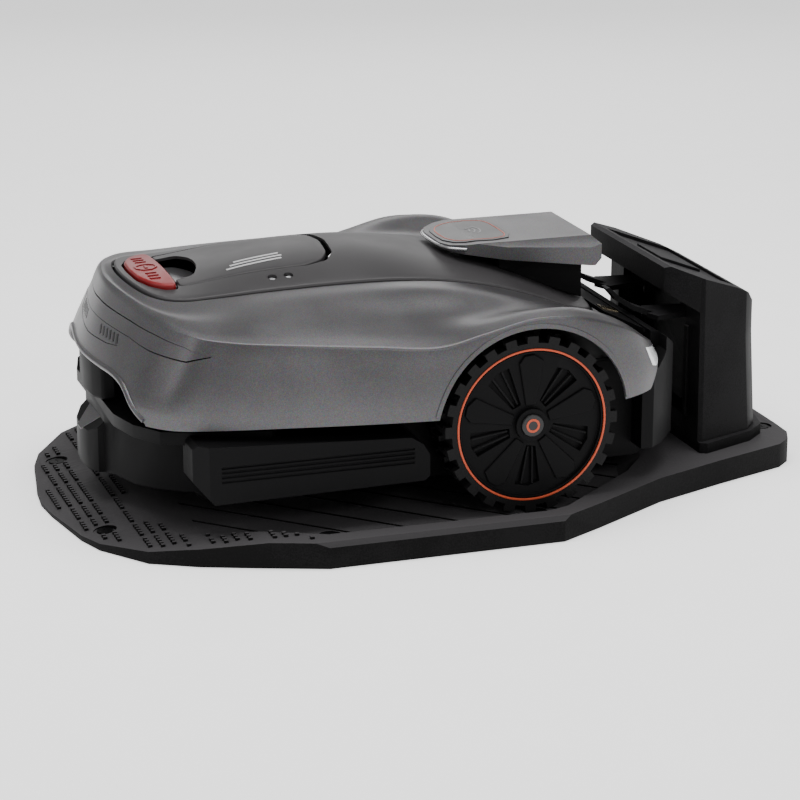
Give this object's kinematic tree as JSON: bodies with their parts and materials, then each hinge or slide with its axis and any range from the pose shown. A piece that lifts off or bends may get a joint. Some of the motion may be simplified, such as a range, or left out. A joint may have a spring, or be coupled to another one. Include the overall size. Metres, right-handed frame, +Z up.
{
  "type": "robotic lawn mower",
  "caption": "Robotic lawn mower parked on its charging dock, with floating shell, big lugged drive wheels and cutting disc.",
  "frame": {"origin": "bottom centre of the bounding box, on the ground under the dock plate", "axes": "-X is the front of the mower, -Y its left side, +Z up"},
  "size_m": [0.859, 0.58, 0.2761],
  "materials": {
    "shell_silver": "satin metallic paint",
    "spine_grey": "satin",
    "black_plastic": "fine texture",
    "charcoal_plastic": "coarse texture",
    "dock_plastic": "coarse texture",
    "gloss_black": "gloss",
    "red_plastic": "satin",
    "orange_ring": "gloss",
    "tyre_rubber": "matte",
    "rubber": "matte",
    "steel": "ground",
    "brass_contact": "plated",
    "lens_clear": "gloss",
    "visor_grey": "satin",
    "board_green": "satin",
    "battery_grey": "matte",
    "motor_metal": "cast"
  },
  "bodies": {
    "dock": {"dock_plate": "dock_plastic", "dock_tower": "charcoal_plastic", "tower_back": "charcoal_plastic", "indicator_panel": "gloss_black", "column_guides": "dock_plastic", "arm_bracket": "charcoal_plastic", "dock_board": "board_green", "cable_gland": "dock_plastic", "ground_pegs": "black_plastic"},
    "charge_arm_left": {"charge_arm_left": "charcoal_plastic"},
    "charge_arm_right": {"charge_arm_right": "charcoal_plastic"},
    "chassis": {"chassis_tub": "black_plastic", "chassis_cover": "black_plastic", "float_bushings": "rubber", "rear_housing": "black_plastic", "front_bumper": "black_plastic", "side_guard_left": "black_plastic", "side_guard_right": "black_plastic", "battery_pack": "battery_grey", "main_board": "board_green", "lift_actuator": "motor_metal", "gearmotor_left": "motor_metal", "gearmotor_right": "motor_metal"},
    "lift": {"lift_carrier": "motor_metal", "blade_motor": "motor_metal"},
    "disc": {"cutting_disc": "steel"},
    "blade_a": {"blade_a": "steel"},
    "blade_b": {"blade_b": "steel"},
    "blade_c": {"blade_c": "steel"},
    "shell": {"body_shell": "shell_silver", "nose_block": "visor_grey", "light_bar": "visor_grey", "light_panel": "visor_grey", "tail_lens_left": "lens_clear", "tail_lens_right": "lens_clear", "spine_cover": "spine_grey", "rear_deck": "black_plastic", "charge_contact_pads": "brass_contact", "control_panel": "black_plastic", "pod_shell": "shell_silver", "pod_label": "gloss_black", "pod_base": "black_plastic", "antenna_board": "board_green"},
    "power_button": {"power_button": "red_plastic"},
    "stop_button": {"stop_button": "red_plastic"},
    "hatch_lid": {"hatch_lid": "spine_grey"},
    "drive_wheel_left": {"tyre_left": "tyre_rubber", "wheel_rim_left": "black_plastic", "wheel_ring_left": "orange_ring", "hub_cap_left": "gloss_black", "wheel_shaft_left": "steel"},
    "drive_wheel_right": {"tyre_right": "tyre_rubber", "wheel_rim_right": "black_plastic", "wheel_ring_right": "orange_ring", "hub_cap_right": "gloss_black", "wheel_shaft_right": "steel"},
    "caster_fork_left": {"caster_fork_left": "black_plastic"},
    "caster_fork_right": {"caster_fork_right": "black_plastic"},
    "caster_wheel_left": {"caster_wheel_left": "rubber"},
    "caster_wheel_right": {"caster_wheel_right": "rubber"}
  },
  "joints": [
    {"name": "drive_off", "type": "slide", "parent": "dock", "child": "chassis", "axis": [-1, 0, 0], "range_m": [0, 0.2]},
    {"name": "arm_flex_left", "type": "hinge", "parent": "dock", "child": "charge_arm_left", "pos_m": [0.314, -0.07, 0.178], "axis": [0, 1, 0], "range_deg": [-1, 8], "stiffness_Nm_per_rad": 0.6},
    {"name": "arm_flex_right", "type": "hinge", "parent": "dock", "child": "charge_arm_right", "pos_m": [0.314, 0.07, 0.178], "axis": [0, 1, 0], "range_deg": [-1, 8], "stiffness_Nm_per_rad": 0.6},
    {"name": "shell_float", "type": "slide", "parent": "chassis", "child": "shell", "axis": [1, 0, 0], "range_m": [-0.004, 0.004], "stiffness_N_per_m": 4000},
    {"name": "stop_press", "type": "slide", "parent": "shell", "child": "stop_button", "axis": [0, 0, -1], "range_m": [0, 0.004], "stiffness_N_per_m": 1500},
    {"name": "power_press", "type": "slide", "parent": "shell", "child": "power_button", "axis": [0, 0, -1], "range_m": [0, 0.002], "stiffness_N_per_m": 800},
    {"name": "lid_open", "type": "hinge", "parent": "shell", "child": "hatch_lid", "pos_m": [-0.113, 0, 0.268], "axis": [0, 1, 0], "range_deg": [0, 75]},
    {"name": "wheel_spin_left", "type": "hinge", "parent": "chassis", "child": "drive_wheel_left", "pos_m": [0.0556, -0.21, 0.1155], "axis": [0, 1, 0], "continuous": true},
    {"name": "caster_swivel_left", "type": "hinge", "parent": "chassis", "child": "caster_fork_left", "pos_m": [-0.27, -0.085, 0.1], "axis": [0, 0, 1], "continuous": true},
    {"name": "caster_roll_left", "type": "hinge", "parent": "caster_fork_left", "child": "caster_wheel_left", "pos_m": [-0.256, -0.085, 0.0455], "axis": [0, 1, 0], "continuous": true},
    {"name": "wheel_spin_right", "type": "hinge", "parent": "chassis", "child": "drive_wheel_right", "pos_m": [0.0556, 0.21, 0.1155], "axis": [0, 1, 0], "continuous": true},
    {"name": "caster_swivel_right", "type": "hinge", "parent": "chassis", "child": "caster_fork_right", "pos_m": [-0.27, 0.085, 0.1], "axis": [0, 0, 1], "continuous": true},
    {"name": "caster_roll_right", "type": "hinge", "parent": "caster_fork_right", "child": "caster_wheel_right", "pos_m": [-0.256, 0.085, 0.0455], "axis": [0, 1, 0], "continuous": true},
    {"name": "deck_lift", "type": "slide", "parent": "chassis", "child": "lift", "axis": [0, 0, -1], "range_m": [0, 0.025]},
    {"name": "disc_spin", "type": "hinge", "parent": "lift", "child": "disc", "pos_m": [-0.105, 0, 0.054], "axis": [0, 0, 1], "continuous": true},
    {"name": "blade_swing_a", "type": "hinge", "parent": "disc", "child": "blade_a", "pos_m": [-0.067, 0.06582, 0.0506], "axis": [0, 0, 1], "continuous": true},
    {"name": "blade_swing_b", "type": "hinge", "parent": "disc", "child": "blade_b", "pos_m": [-0.181, 0, 0.0506], "axis": [0, 0, 1], "continuous": true},
    {"name": "blade_swing_c", "type": "hinge", "parent": "disc", "child": "blade_c", "pos_m": [-0.067, -0.06582, 0.0506], "axis": [0, 0, 1], "continuous": true}
  ]
}
